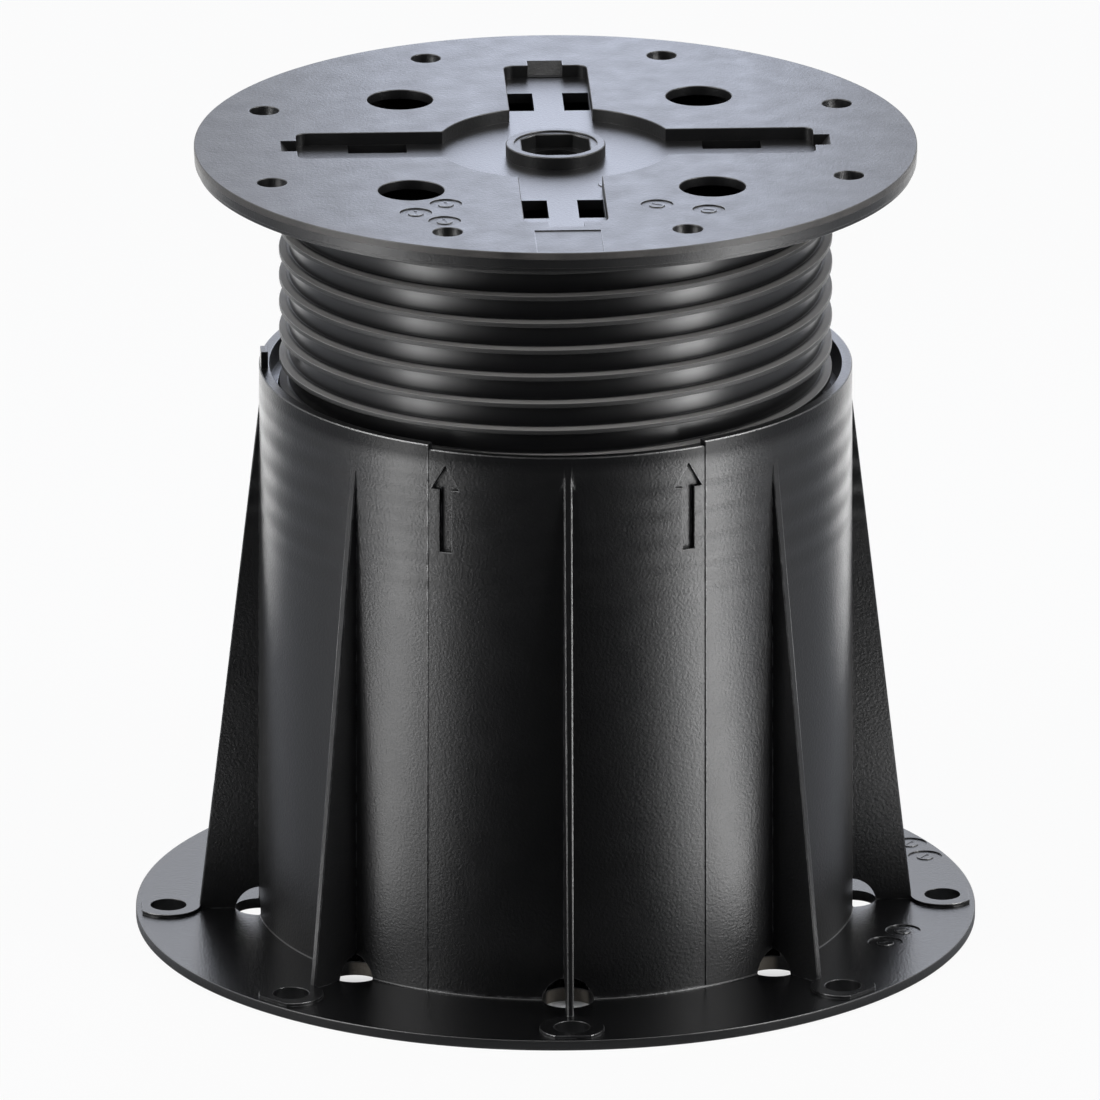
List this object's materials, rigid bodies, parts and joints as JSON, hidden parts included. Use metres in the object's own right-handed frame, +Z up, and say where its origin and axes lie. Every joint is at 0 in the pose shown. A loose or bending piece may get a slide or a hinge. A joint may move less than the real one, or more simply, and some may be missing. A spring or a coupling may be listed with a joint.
{
  "type": "decking pedestal",
  "caption": "Adjustable pedestal for raised decking and paving: finned round base with a threaded collar, and a hollow screw head with a round plate.",
  "frame": {"origin": "centre of the underside of the base's round flange, on the ground", "axes": "+Z up along the screw's axis; -Y is the front, through one fin of the base"},
  "size_m": [0.2, 0.2, 0.1924],
  "materials": {
    "base_plastic": "black satin moulded polypropylene",
    "head_plastic": "black satin moulded polypropylene"
  },
  "bodies": {
    "base": {"base": "base_plastic"},
    "screw_head": {"screw_head": "head_plastic"}
  },
  "joints": [
    {"name": "height_adjust", "type": "slide", "parent": "base", "child": "screw_head", "axis": [0, 0, 1], "range_m": [-0.0474, 0.0526]}
  ]
}
